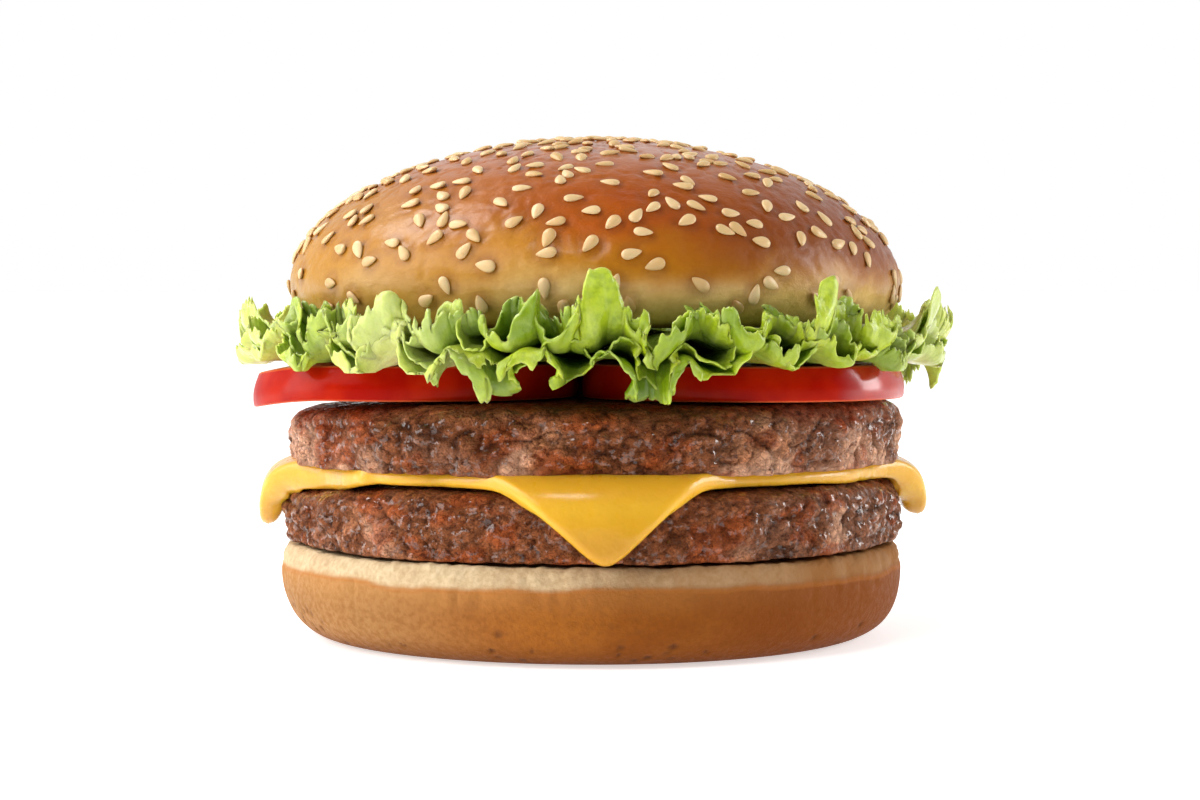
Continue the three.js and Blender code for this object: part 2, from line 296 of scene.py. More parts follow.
class Look(Nodes):
    """A material with one Principled shader."""

    def __init__(self, name, **plain):
        self.material = bpy.data.materials.new(name)
        self.material.use_nodes = True
        super().__init__(self.material.node_tree)
        self.shader = self.tree.nodes["Principled BSDF"]
        for socket, value in plain.items():
            self.set(socket.replace("_", " "), value)
        self.place = self.node("ShaderNodeTexCoord").outputs["Object"]

    def set(self, socket, value):
        self.join(value, self.shader.inputs[socket])

    def soften(self, weight, scale, radius):
        """Lets light through the surface."""
        self.set("Subsurface Weight", weight)
        self.set("Subsurface Scale", scale)
        self.set("Subsurface Radius", radius)

    def value(self, name):
        return self.node("ShaderNodeAttribute", attribute_name=name).outputs["Fac"]

    def share(self, name, most):
        """The named number of the mesh, times most."""
        return self.math("MULTIPLY", self.value(name), most)

    def ramp(self, name, *limits):
        return self.span(self.value(name), *limits)

    def speckle(self, size_mm, detail=3.0, roughness=0.55, distortion=0.0, stretch=None):
        place = self.place
        if stretch:
            place = self.node("ShaderNodeMapping", {"Vector": place, "Scale": stretch}).outputs[0]
        inputs = {
            "Vector": place,
            "Scale": 1 / (size_mm * MM),
            "Detail": detail,
            "Roughness": roughness,
            "Distortion": distortion,
        }
        return self.node("ShaderNodeTexNoise", inputs).outputs["Fac"]

    def pebbles(self, size_mm, feature="F1", output="Distance", warp=0.0):
        """Cells of about the given size, stirred by a share of it."""
        place = self.place
        scale = 1 / (size_mm * MM)
        if warp:
            swirl = self.node("ShaderNodeTexNoise", {"Vector": place, "Scale": scale, "Detail": 2.0})
            inputs = {"Vector": swirl.outputs["Color"], "Scale": warp * size_mm * MM}
            shift = self.node("ShaderNodeVectorMath", inputs, operation="SCALE").outputs[0]
            place = self.node("ShaderNodeVectorMath", {0: place, 1: shift}, operation="ADD").outputs[0]
        inputs = {"Vector": place, "Scale": scale}
        return self.node("ShaderNodeTexVoronoi", inputs, feature=feature).outputs[output]

    def cells(self, size_mm):
        """A number from 0 to 1 for each cell of uneven crumbs."""
        colour = self.pebbles(size_mm, output="Color", warp=0.5)
        return self.node("ShaderNodeSeparateColor", {"Color": colour}).outputs[0]

    def roughen(self, low, high, size_mm, detail=3):
        """Roughness between two values, in soft spots of about the given size."""
        self.set("Roughness", self.span(self.speckle(size_mm, detail), 0.3, 0.7, low, high))

    def mix(self, share, a, b):
        """Colour a with a share of colour b."""
        a, b = ((*colour, 1.0) if isinstance(colour, tuple) else colour for colour in (a, b))
        return self.node("ShaderNodeMix", {0: share, 6: a, 7: b}, data_type="RGBA").outputs[2]

    def bumps(self, *layers):
        """Relief in layers, each given as its height from 0 to 1 and its depth in millimetres."""
        below = {}
        for height, depth_mm in layers:
            inputs = {"Height": height, "Distance": depth_mm * MM, **below}
            below = {"Normal": self.node("ShaderNodeBump", inputs).outputs["Normal"]}
        self.set("Normal", below["Normal"])


# Heel


HEEL = {"foot": 40, "radius": 50.6, "face": 48.8}
# Height of the line between the crust and the cut crumb
CRUST_LINE = 12.2


def build_heel():
    foot, face_radius = HEEL["foot"], HEEL["face"]
    wide = (HEEL["radius"], CRUST_LINE)
    low = shoulder((foot, 0), wide, 2.5)
    high = shoulder((face_radius, HEEL_TOP), wide, 2)[::-1]
    side = evenly(low + high[1:], 0.45)
    base = evenly([(0, 0), (foot, 0)], 2.5)
    face = evenly([(face_radius, HEEL_TOP), (0, HEEL_TOP)], 2.5)
    profile = np.concatenate([base[:-1], side, face[1:]])
    points, normals, poles, faces = turned(profile, 560)
    azimuth = azimuth_of(points)
    height = points[..., 2]
    on_side = smooth(height, 0.3, 2.5) * smooth(radius_of(points), 41, 44)
    line = CRUST_LINE - 0.2 + 1.4 * (layered(points * (1, 1, 0), 6, 4) - 0.5)
    cut = smooth(height, line - 0.5, line + 0.8)
    crumb = layered(points * (1, 1, 0.4), 1.1, 3, 5.0) - 0.5
    wrinkle = np.clip(noise(azimuth * 50 / 1.3, height / 14, 3.0) - 0.45, 0, 1) ** 1.5
    patches = smooth(layered(points, 16, 2, 8.0), 0.45, 0.6) + np.exp(-(((azimuth + 0.25) / 0.3) ** 2))
    wrinkle *= smooth(height, 5.5, 11.5) * (1 - cut) * np.clip(patches, 0, 1)
    first, _ = grains(points, 2.6, 4.0)
    pit = smooth(0.34 - first, 0, 0.2) * (layered(points, 11, 2, 2.0) > 0.5) * (1 - cut)
    pit *= smooth(8.5 - height, 0, 5)
    lumps = layered(points, 12, 2) - 0.5
    relief = on_side * (0.5 * lumps - 1.3 * wrinkle - 0.3 * pit)
    relief += cut * on_side * (0.8 * crumb - 0.4)
    relief = np.minimum(relief, 0.12)
    swell = 1 - 0.01 * np.sin(azimuth) + 0.003 * np.sin(2 * azimuth) + 0.002 * np.sin(5 * azimuth)
    points = widened(points, swell) + normals * relief[..., None]
    values = {
        "cut": cut,
        "pit": pit,
        "line": np.exp(-(((height - line + 0.25) / 0.45) ** 2)),
        "rise": height / HEEL_TOP,
        "mottle": layered(points, 7, 4, 3.0),
        # side: darker towards the right, partly painted shade and partly the crust's own browning
        "side": smooth(azimuth, -0.5, 0.9) * smooth(azimuth, 3.1, 2.2),
        # Painted light: the crust lighter on the left side
        "painted_light_left": smooth(azimuth, -0.1, -0.8) * smooth(azimuth, -3.1, -2.4),
    }
    return make_turned("heel", points, poles, faces, values)


def heel_look():
    look = Look("heel_crust", Specular_IOR_Level=0.08)
    fine = look.speckle(0.9, 4)
    patch = look.value("mottle")
    crust = look.mix(look.span(patch, 0.3, 0.7), (0.285, 0.08, 0.006), (0.37, 0.122, 0.014))
    # Painted light: the crust lighter on the left side.
    crust = look.mix(look.share("painted_light_left", 0.8), crust, (0.36, 0.19, 0.065))
    crust = look.mix(look.span(fine, 0.35, 0.7, 0, 0.45), crust, (0.2, 0.07, 0.016))
    crust = look.mix(look.ramp("rise", 0.3, 0.0, 0, 0.85), crust, (0.19, 0.058, 0.008))
    crust = look.mix(look.ramp("rise", 0.45, 0.8, 0, 0.35), crust, (0.56, 0.27, 0.085))
    # Painted shade and browning: the crust darker on the right side.
    crust = look.mix(look.share("side", 0.85), crust, (0.185, 0.043, 0.002))
    # Painted shade: the crust darker in its pits.
    crust = look.mix(look.value("pit"), crust, (0.12, 0.04, 0.012))
    crumb = look.mix(look.span(fine, 0.3, 0.7), (0.5, 0.36, 0.2), (0.64, 0.49, 0.3))
    # The crumb browner on the right: its own browning with painted shade.
    browned_and_shaded = look.math("ADD", look.share("side", 0.85), look.span(patch, 0.4, 0.7, 0, 0.15))
    crumb = look.mix(browned_and_shaded, crumb, (0.28, 0.11, 0.024))
    colour = look.mix(look.value("cut"), crust, crumb)
    colour = look.mix(look.ramp("line", 0.2, 1.0, 0, 0.5), colour, (0.4, 0.13, 0.02))
    look.set("Base Color", colour)
    look.bumps((look.speckle(0.5, 5, 0.65), 0.16), (look.speckle(2.2, 3), 0.3))
    look.set("Roughness", look.span(fine, 0.3, 0.7, 0.5, 0.72))
    return look.material


# Patties


PATTY = {"foot": 48, "radius": 51.6, "face": 45.3}
# Where each patty lies in the noise that shapes it, and how much darker than usual it is made
PATTIES = {"patty_lower": (3.7, 0.19), "patty_upper": (11.2, 0.02)}


def build_patty(node, base, top):
    shift, darkening = PATTIES[node]
    thick = top - base
    middle = (base + top) / 2
    foot, wide, face = PATTY["foot"], (PATTY["radius"], middle), PATTY["face"]
    low = shoulder((foot, base), wide, 3.4)
    high = shoulder((face, top), wide, 2.5)[::-1]
    side = evenly(low + high[1:], 0.42)
    plain_below, fine_below = evenly([(0, base), (38, base)], 3), evenly([(38, base), (foot, base)], 0.7)
    fine_above, plain_above = evenly([(face, top), (34, top)], 0.7), evenly([(34, top), (0, top)], 3)
    parts = [plain_below[:-1], fine_below[:-1], side, fine_above[1:-1], plain_above]
    profile = np.concatenate(parts)
    points, normals, poles, faces = turned(profile, 680)
    x, y, z = points[..., 0], points[..., 1], points[..., 2]
    radius = np.hypot(x, y)
    edge = smooth(radius, 38, PATTY["radius"])
    z = z - 1.9 * smooth(-x, 22, 54) * np.clip((z - base) / thick, 0, 1)
    z = z - 0.9 * smooth(radius, 47.5, 51) * np.clip((middle - z) / thick * 2, 0, 1)
    lump = noise(x / 5.6 + shift, y / 5.6, z / 4 + shift)
    wobble = 0.15 * (1 + np.sin(3 * azimuth_of(points) + shift))
    pulled = 1 - edge * (2.1 * lump + wobble) / np.maximum(radius, 1)
    z = lerp(z, middle, 0.05 * edge * noise(x / 9, y / 9 + shift, 0))
    points = np.stack([x * pulled, y * pulled, z], axis=-1)
    rough = smooth(radius, 36, 44)
    warped = points + 1.4 * (np.stack([layered(points, 3.2, 2, s) for s in (1.0, 2.0, 3.0)], -1) - 0.5)
    first, second = grains(warped * (1, 1, 1.25), 3.4, shift)
    crease = 1 - smooth(second - first, 0.0, 0.3)
    small, next_small = grains(warped, 1.5, shift + 5)
    crumbs = 1 - smooth(next_small - small, 0.0, 0.4)
    crack = 1 - smooth(np.abs(layered(points, 8, 2, shift) - 0.5), 0.0, 0.03)
    fine = layered(points, 1.1, 2, shift)
    broad = layered(points, 6.5, 2, shift + 12)
    lumps = 1.0 * first**2 + 0.45 * small**2
    relief = lumps + 0.2 * crease + 0.5 * crack + 0.25 * fine + 0.5 * broad - 0.2
    relief = np.clip(relief, 0, 1.9) * (1 - 0.75 * smooth(np.abs(normals[..., 2]), 0.35, 0.95))
    points = points - normals * (rough * relief)[..., None]
    up = (z - base) / thick
    sideways = np.sin(azimuth_of(points))
    front = np.exp(-((azimuth_of(points) / 0.55) ** 2))
    # Painted shade: the sear darker at the front. Painted light: the meat paler at both sides, most on the
    # right.
    sear_and_front_shade = layered(points, 9, 3, shift + 9) + 0.26 * (up - 0.45) + 0.16 * front + darkening
    pale_and_side_light = layered(points, 5.5, 2, shift + 6) - 0.3 * (up - 0.4) - 0.12 * front
    pale_and_side_light += 0.22 * smooth(-sideways, 0.3, 0.8) + 0.58 * smooth(sideways, 0.3, 0.8) - darkening
    juice = layered(points * (1, 1, 1.6), 5, 3, shift + 4) + 0.05 * front
    values = {
        # deep: painted shade in the creases, crumb gaps and cracks
        "deep": np.clip(0.45 * crease + 0.3 * crumbs + 0.45 * crack, 0, 1),
        "sear_and_front_shade": smooth(sear_and_front_shade, 0.42, 0.58),
        "juice": smooth(juice, 0.53, 0.66),
        "pale": smooth(pale_and_side_light, 0.48, 0.66),
    }
    return make_turned(node + "_meat", points, poles, faces, values)


def meat_look():
    look = Look("grilled_meat", Specular_IOR_Level=0.06, Coat_Roughness=0.06)
    fibres = look.speckle(1.1, 6, 0.7, 1.3, (1, 1, 1.6))
    tone = look.math("MULTIPLY", look.math("ADD", look.cells(1.25), look.cells(0.6)), 0.12)
    tone = look.math("ADD", tone, look.math("MULTIPLY", look.speckle(3.2, 3), 0.4))
    tone = look.math("ADD", tone, look.math("MULTIPLY", fibres, 0.65))
    meat = look.mix(look.span(tone, 0.44, 0.76), (0.15, 0.034, 0.009), (0.8, 0.335, 0.16))
    pale = look.math("MULTIPLY", look.value("pale"), look.span(tone, 0.4, 0.7))
    # Pale meat and painted light: paler at the two sides.
    meat = look.mix(pale, meat, (0.92, 0.5, 0.31))
    dark = look.mix(look.span(tone, 0.42, 0.75), (0.04, 0.009, 0.003), (0.3, 0.08, 0.022))
    # Sear and painted shade: darker at the front.
    meat = look.mix(look.share("sear_and_front_shade", 0.8), meat, dark)
    red = look.mix(look.span(tone, 0.4, 0.7), (0.14, 0.016, 0.003), (0.5, 0.1, 0.02))
    meat = look.mix(look.share("juice", 0.65), meat, red)
    edges = look.pebbles(1.25, "DISTANCE_TO_EDGE", warp=0.5)
    # Painted shade: the meat darker in the gaps between crumbs and in its creases and cracks.
    crevice_shade = look.math("MAXIMUM", look.span(edges, 0.12, 0.0, 0, 0.5), look.share("deep", 0.85))
    meat = look.mix(crevice_shade, meat, (0.03, 0.008, 0.003))
    look.set("Base Color", meat)
    wet = look.span(look.speckle(1.1, 4, 0.6), 0.54, 0.58)
    wet = look.math("MULTIPLY", wet, look.ramp("sear_and_front_shade", 0.0, 0.8, 0.35, 1.0))
    look.set("Coat Weight", wet)
    look.set("Roughness", look.span(look.speckle(0.6, 6, 0.7), 0.35, 0.7, 0.3, 0.6))
    look.bumps(
        (look.speckle(0.3, 4, 0.7), 0.12),
        (look.pebbles(0.6, "DISTANCE_TO_EDGE", warp=0.3), 0.3),
        (edges, 0.5),
        (fibres, 0.45),
        (look.speckle(2.2, 4, 0.6), 0.7),
    )
    return look.material


# Cheese


CHEESE = {"side": 89, "thickness": 1.8, "melt": 48, "bend": 47.5, "round": 5.9, "turn": math.radians(2)}


def cheese_reach(azimuth):
    turn = azimuth - CHEESE["turn"] - math.pi / 4
    square = (np.abs(np.cos(turn)) ** 20 + np.abs(np.sin(turn)) ** 20) ** (-1 / 20)
    melted = CHEESE["melt"] - 0.8 + 0.6 * np.sin(7 * azimuth + 1)
    melted = melted + 1.5 * (noise(azimuth * 6, 0, 7) - 0.5) + 0.8 * (noise(azimuth * 17, 3, 7) - 0.5)
    run = 1 + 0.015 * np.cos(2 * azimuth) + 0.011 * (np.cos(azimuth) - np.sin(azimuth))
    run -= 0.065 * np.sin(2 * azimuth) ** 2
    return ((CHEESE["side"] / 2 * square * run) ** 36 + melted**36) ** (1 / 36)


def build_cheese():
    steps = np.linspace(-1, 1, 181)
    spread = np.sin(steps * 1.2) / math.sin(1.2)
    flat = np.stack(np.meshgrid(spread, spread), axis=-1) * CHEESE["side"] / 2
    length = np.maximum(np.linalg.norm(flat, axis=-1), 1e-3)
    largest = np.maximum(np.abs(flat).max(-1), 1e-3) / (CHEESE["side"] / 2)
    azimuth = np.arctan2(flat[..., 1], flat[..., 0]) + CHEESE["turn"] + math.pi / 4
    reach = cheese_reach(azimuth)
    path = length * lerp(1, reach / (length / largest), smooth(length, 0, 40))
    bend = np.clip((path - CHEESE["bend"]) / CHEESE["round"], 0, math.pi / 2)
    drop = np.maximum(path - CHEESE["bend"] - CHEESE["round"] * math.pi / 2, 0)
    radius = np.minimum(path, CHEESE["bend"]) + CHEESE["round"] * np.sin(bend)
    z = CHEESE_Z - CHEESE["thickness"] / 2 - CHEESE["round"] * (1 - np.cos(bend)) - drop
    wave = 0.25 * (noise(azimuth * 7, z / 5, 1) - 0.5) * smooth(path, 47, 53)
    middle = around(azimuth, radius + wave, z)
    hanging = smooth(path, 51, 59)
    half = lerp(CHEESE["thickness"] / 2, 1.3, hanging)
    from_rim = np.maximum(reach - path, 0) * 0.8 + 1.5 * (1 - largest) * 0.2
    rim = np.maximum(np.sqrt(1 - (1 - np.clip(from_rim / half, 0, 1)) ** 2), 0.02)
    slump = 2.4 * smooth(path, 46.5, 50.5) * smooth(path, 62, 54) * smooth(reach, 50, 56)
    side = radius * np.sin(azimuth)
    seated = 0.5 + 1.6 * smooth(-side, 22, 50)
    slump += seated * smooth(np.abs(side), 32, 40) * smooth(path, 36, 43) * smooth(path, 53, 50)
    clinging = 0.9 * smooth(path, 44, 48.5) * smooth(path, 56, 51)
    points, faces, inner = sheet(middle, (half + slump) * rim, (half + clinging) * rim)
    values = {
        "hanging": sheet_values(hanging, inner),
        # upper: painted light, the upper part of the hanging cheese made lighter
        "upper": sheet_values(smooth(path, 60.5, 53), inner),
        "rim": sheet_values(1 - smooth(from_rim, 0, 2.5), inner),
    }
    return make_piece("cheese", points, faces, values)


def cheese_look():
    look = Look("melted_cheese", Specular_IOR_Level=0.15, Coat_Weight=0.5, Coat_Roughness=0.17)
    look.soften(0.3, 0.0025, (1.0, 0.5, 0.12))
    drift = look.speckle(6, 3)
    colour = look.mix(drift, (0.52, 0.225, 0.001), (0.58, 0.285, 0.0015))
    # Painted light: the upper part of the hanging cheese lighter and yellower.
    colour = look.mix(look.share("upper", 0.85), colour, (0.8, 0.46, 0.035))
    colour = look.mix(look.ramp("hanging", 0.4, 0.0, 0, 0.35), colour, (0.7, 0.27, 0.004))
    colour = look.mix(look.share("rim", 0.2), colour, (0.8, 0.48, 0.035))
    look.set("Base Color", colour)
    look.roughen(0.24, 0.38, 3)
    look.bumps((look.speckle(0.8, 3), 0.03), (look.speckle(4.5, 3), 0.35))
    return look.material


# Tomato


TOMATO = {"thickness": 5.3, "taper": 0.7, "bevel": 0.5}


def build_tomato(node, x, y, radius, sag):
    thick, taper, bevel = TOMATO["thickness"], TOMATO["taper"], TOMATO["bevel"]
    skin = [(radius - bevel, 0), (radius - 0.12, 0.12), (radius, bevel)]
    for t in np.linspace(0, 1, 9)[1:]:
        bulge = 0.35 * math.sin(math.pi * t)
        skin.append((radius - taper * t + bulge, lerp(bevel, thick - bevel, t)))
    skin += [(radius - taper - 0.12, thick - 0.12), (radius - taper - bevel, thick)]
    below = evenly([(0, 0), (radius - bevel, 0)], 0.8)
    above = evenly([(radius - taper - bevel, thick), (0, thick)], 0.8)
    profile = np.concatenate([below[:-1], evenly(skin, 0.3), above[1:]])
    points, normals, poles, faces = turned(profile, 300)
    azimuth = azimuth_of(points)
    distance = radius_of(points)
    on_skin = smooth(distance, radius - taper - bevel - 0.1, radius - taper - 0.1)
    on_skin *= smooth(np.abs(normals[..., 2]), 0.9, 0.6)
    lobes = 1 - 0.012 * (1 + np.cos(3 * azimuth + radius)) - 0.004 * np.cos(7 * azimuth)
    points = widened(points, lobes)
    drop = sag * np.clip((-points[..., 0] / radius - 0.45) / 0.55, 0, 1) ** 2
    spokes = np.abs(np.sin(3 * azimuth + 0.3 * np.sin(5 * azimuth)))
    pocket = smooth(distance, 5, 8) * (1 - smooth(distance, radius - 6.5, radius - 4))
    pocket *= smooth(spokes, 0.3, 0.5)
    dent = 0.35 * pocket * np.sign(normals[..., 2]) * smooth(np.abs(normals[..., 2]), 0.8, 0.95)
    points[..., 2] -= drop + dent
    points += (x, y, TOMATO_Z)
    poles[:, 2] += TOMATO_Z
    poles[:, :2] += (x, y)
    side = points[..., 0]
    ends = smooth(side, 35, 41) * smooth(side, 50, 46) + 0.25 * smooth(-side, 36, 46)
    values = {"skin": on_skin, "pocket": pocket, "wet": on_skin * ends}
    return make_turned(node + "_slice", points, poles, faces, values)


def tomato_look():
    look = Look("tomato", Specular_IOR_Level=0.015, Coat_Roughness=0.17)
    drift = look.speckle(9, 3)
    skin = look.mix(look.span(drift, 0.35, 0.65), (0.32, 0.004, 0.0004), (0.42, 0.013, 0.0008))
    flesh = look.mix(look.speckle(1.5, 3), (0.55, 0.06, 0.015), (0.72, 0.16, 0.05))
    flesh = look.mix(look.value("pocket"), flesh, (0.5, 0.12, 0.015))
    colour = look.mix(look.value("skin"), flesh, skin)
    look.set("Base Color", colour)
    look.set("Coat Weight", look.ramp("wet", 0, 1, 0.08, 1.0))
    look.roughen(0.3, 0.42, 2.5, 2)
    look.bumps((look.speckle(1.5, 3), 0.04))
    return look.material


# Lettuce


LEAF = {
    "inner": 10,
    "span": 120,
    "bend": 51.4,
    "frill": 12,
    "flare": 0.58,
    "ripple": 0.9,
    "thickness": 0.36,
    "rim": 54,
    "reach": 59.3,
}
# Folds of a leaf's frill: length along the rim, steepness at the margin in radians
FOLDS = ((12, 1.6), (4.4, 0.75), (1.9, 0.3))
# Where the folds start, on the way from a leaf's root (0) to its margin (1)
ROOT = 0.36
# Narrow tongues of the upper leaves that stand up against the crown: azimuth in degrees, rise
TONGUES = (
    (-55, 3.5), (-32, 3.5), (-8.5, 2), (1.5, 4.5), (22, 2.5), (38, 3),
    (69, 4), (118, 3.5), (-118, 4), (160, 3), (-155, 4),
)
TONGUE_WIDTH = 2.6
# Azimuths in degrees where the upper leaf's frill stays low and leaves a dark opening under the crown
OPENINGS = (-17, 10.5, 31)


def tomato_edge(azimuth):
    ray_x, ray_y = np.sin(azimuth), -np.cos(azimuth)
    edge = np.zeros_like(azimuth)
    for x, y, radius, _ in SLICES.values():
        along = x * ray_x + y * ray_y
        aside = np.abs(x * ray_y - y * ray_x)
        reach = along + np.sqrt(np.maximum(radius**2 - aside**2, 0))
        edge = np.where(aside < radius, np.maximum(edge, reach), edge)
    return edge


def standing(azimuth):
    return np.clip(0.5 + 0.36 * np.cos(9 * azimuth) + 0.22 * np.cos(19 * azimuth + 1), 0, 1)


def hanging(azimuth):
    slow = 0.4 * np.cos(14 * (azimuth + math.radians(16)))
    return np.clip(0.5 + slow + 0.2 * np.cos(23 * azimuth + 2), 0, 1)


def free_rim(azimuth):
    """1 where the tomato slices leave the burger's rim free for a leaf to hang down, 0 elsewhere."""
    return 1 - smooth(tomato_edge(azimuth), 43, 47)


def drooping(azimuth):
    """1 where the leaves hang down past the tomato slices or beyond their ends, 0 elsewhere."""
    degrees = np.degrees(azimuth)
    right_end = smooth(degrees, 57, 64) * smooth(degrees, 97, 88)
    return np.maximum(free_rim(azimuth) * smooth(hanging(azimuth), 0.15, 0.6), 0.8 * right_end)


def opening(azimuth):
    return sum(np.exp(-(((np.degrees(azimuth) - place) / 4) ** 2)) for place in OPENINGS)


def crumple(azimuth, radius, turns, phase):
    return 0.5 + 0.5 * np.sin(turns * azimuth + phase) * np.cos(radius / 6 + phase)


def lying_height(azimuth, radius, upper):
    low = LETTUCE_Z + 0.5 + 0.9 * crumple(azimuth, radius, 7, 0.4)
    return low + 1.25 + 1.7 * crumple(azimuth, radius, 11, 2.1) if upper else low


def leaf_surface(azimuth, upper, hang, across, out):
    """The same broad folds as the leaf's solid, for grids of across and out from 0 to 1."""
    radius = lerp(LEAF["inner"], LEAF["bend"], np.clip(2 * out, 0, 1))
    turn = np.clip(2 * out - 1, 0, 1) * math.pi / 2
    side_end = smooth(np.minimum(across, 1 - across), -0.02, 0.1)
    length = LEAF["frill"] * lerp(0.65, 1, side_end)
    low = lerp(0.2, -0.6 * hanging(azimuth), free_rim(azimuth) * lerp(*hang, across))
    high = 0.25 + (0.42 - 0.14 * np.sin(azimuth) ** 2) * standing(azimuth) * (1 - 0.8 * opening(azimuth))
    rise = length * (high if upper else low)
    ripple = LEAF["ripple"] * np.sin(31 * azimuth)
    reach = np.sqrt(length**2 - rise**2) * LEAF["flare"] + ripple
    z = lying_height(azimuth, radius, upper) + rise * (1 - np.cos(turn))
    return around(azimuth, radius + reach * np.sin(turn), z)


def tongues(azimuth):
    """How much of a tongue there is at each azimuth, from 0 to 1, how far it rises and how far the
    azimuth is from the tongue's middle, in millimetres along the rim."""
    degrees = np.degrees(azimuth)
    shares = [np.exp(-(((degrees - place) / TONGUE_WIDTH) ** 2)) for place, _ in TONGUES]
    rise = sum(share * height for share, (_, height) in zip(shares, TONGUES))
    aside = sum(share * np.radians(degrees - place) for share, (place, _) in zip(shares, TONGUES))
    return np.clip(sum(shares), 0, 1), rise, aside * LEAF["rim"]


def level(steepness):
    """How far a curve that swings from side to side by this angle gets, for each unit of its length."""
    x = steepness**2 / 4
    return 1 - x + x**2 / 4 - x**3 / 36


def steadied(values, window):
    """The values along each row without their slow drift."""
    kernel = np.hanning(window)
    kernel /= kernel.sum()
    padded = np.pad(values, ((0, 0), (window // 2, window - 1 - window // 2)), "edge")
    slow = np.stack([np.convolve(row, kernel, "valid") for row in padded])
    return values - slow


def folds(arc, beat, grown, calm, salt):
    """Offsets along the rim and across the leaf of a frill whose margin is longer than its root, so that
    it swings from side to side in folds, and each fold in smaller ones. The folds keep time with beat."""
    angle, progress = 0.0, 1.0
    for order, (wave, steepness) in enumerate(FOLDS):
        phase = 2 * math.pi * beat / wave + 7 * noise(beat / (1.8 * wave), salt, 3.5 + order)
        strength = lerp(0.7, 1.2, noise(beat / (1.4 * wave), salt, 9.5 + order))
        swing = steepness * strength * grown ** (0.7 + 0.7 * order) * calm
        angle = angle + swing * np.sin(phase)
        progress = progress * level(swing)
    step = np.gradient(arc, axis=1) / progress
    along = np.cumsum(step * np.cos(angle), axis=1) - arc
    across = np.cumsum(step * np.sin(angle), axis=1)
    window = int(26 / (arc[0, 1] - arc[0, 0]))
    return steadied(along, window), steadied(across, window)


def leaf_sheet(node, middle, upper, hang, layer, columns, rows):
    """One layer of a leaf: layer 0 is the leaf itself, layer 1 a shorter fold of it that lies above."""
    salt = 3.0 * list(LEAVES).index(node) + 41 * layer
    u = np.linspace(0, 1, columns)
    v = np.concatenate([np.linspace(0, ROOT, 5, endpoint=False), np.linspace(ROOT, 1, rows - 5)])
    across, out = np.meshgrid(u, v)
    arc = np.radians(LEAF["span"]) * LEAF["rim"] * across
    azimuth = np.radians(middle + (across - 0.5) * LEAF["span"])
    tongue, tongue_rise, aside = tongues(azimuth) if upper and not layer else (0 * azimuth, 0, 0)
    pace = lerp(1, 0.62, smooth(np.abs(np.sin(azimuth)), 0.7, 0.93))
    beat = np.cumsum(pace * np.gradient(arc, axis=1), axis=1)
    lobe = np.abs(np.sin(math.pi * beat / 5.6 + 3 * noise(beat / 8, salt, 0.5))) ** 0.6
    lobe = lobe + 0.3 * np.abs(np.sin(math.pi * beat / 1.9 + 3 * noise(beat / 4, salt, 2.5)))
    teeth = np.abs(np.sin(math.pi * arc / 0.8 + 4 * noise(arc / 3, salt, 4.5)))
    notch = smooth(noise(arc / 1.6, salt, 6.5), 0.74, 0.82)
    broad = lerp(0.64 + 0.26 * lobe, 1.0, tongue) * (1 - 0.2 * layer)
    share = broad + (0.03 * teeth - 0.16 * notch) * (1 - 0.3 * tongue)
    beyond = (out - ROOT) * smooth(out, ROOT, 1.0)
    ripe = np.clip((out - (1 - np.clip(broad, 0.35, 1)) * beyond - ROOT) / 0.6, 0, 1)
    out = out - (1 - np.clip(share, 0.35, 1)) * beyond
    surface = leaf_surface(azimuth, upper, hang, across, out)
    normal = across_grid(surface)
    along = unit(np.gradient(surface, axis=1))
    calm = (1 - 0.35 * tongue) * (1 - 0.3 * smooth(np.abs(np.sin(azimuth)), 0.75, 0.93))
    drift, lift = folds(arc, beat, ripe, calm, salt)
    drift = drift + aside * (0.35 * ripe**2 - 0.6 * np.sin(math.pi * ripe))
    surface = surface + along * drift[..., None] + normal * (-lift)[..., None]
    surface[..., 2] += tongue_rise * ripe**1.5 + layer * (0.35 + 2.2 * ripe * (1 - opening(azimuth)))
    frill = np.clip(2 * out - 1, 0, 1)
    vein = leaf_veins(arc, frill, salt)
    surface = surface + normal * (0.07 * vein * smooth(frill, 0, 0.1))[..., None]
    surface = keep_clear(surface, upper)
    from_margin = (1 - v)[:, None] / (1 - ROOT) * 13 * np.ones_like(out)
    rim = np.minimum(from_margin, np.minimum(across, 1 - across) * 110)
    half = LEAF["thickness"] / 2 * np.clip(rim / 0.3, 0.02, 1) ** 0.5
    points, faces, inner = sheet(surface, half, half)
    values = {
        "frill": ripe,
        "vein": vein,
        "margin": np.exp(-from_margin / 0.5),
        # deep: painted shade deeper inside the frill
        "deep": smooth(radius_of(surface), 57.5, 51),
        # light: the paler leaf at the left of the front, with painted light at the sides and right of the
        # front
        "light": leaf_pale_and_lit(azimuth),
        "tone": layered(surface, 9, 2, salt),
    }
    return points, faces, {key: sheet_values(value, inner) for key, value in values.items()}


def leaf_pale_and_lit(azimuth):
    """How pale the leaves are: a paler leaf at the left of the front, and painted light at the burger's two
    sides and right of the front.
    """
    degrees = np.degrees(azimuth)
    front = np.exp(-(((degrees + 33) / 12) ** 2)) + 0.12 * np.exp(-(((degrees - 40) / 12) ** 2))
    return np.clip(front + 0.85 * smooth(np.abs(np.sin(azimuth)), 0.75, 0.95), 0, 1)


def build_leaf(node, middle, upper, hang):
    points, faces, values = leaf_sheet(node, middle, upper, hang, 0, 700, 28)
    more_points, more_faces, more_values = leaf_sheet(node, middle, upper, hang, 1, 520, 24)
    start = len(points)
    faces = faces + (np.array(more_faces) + start).tolist()
    values = {key: np.concatenate([value, more_values[key]]) for key, value in values.items()}
    return make_piece(node + "_leaf", np.concatenate([points, more_points]), faces, values)


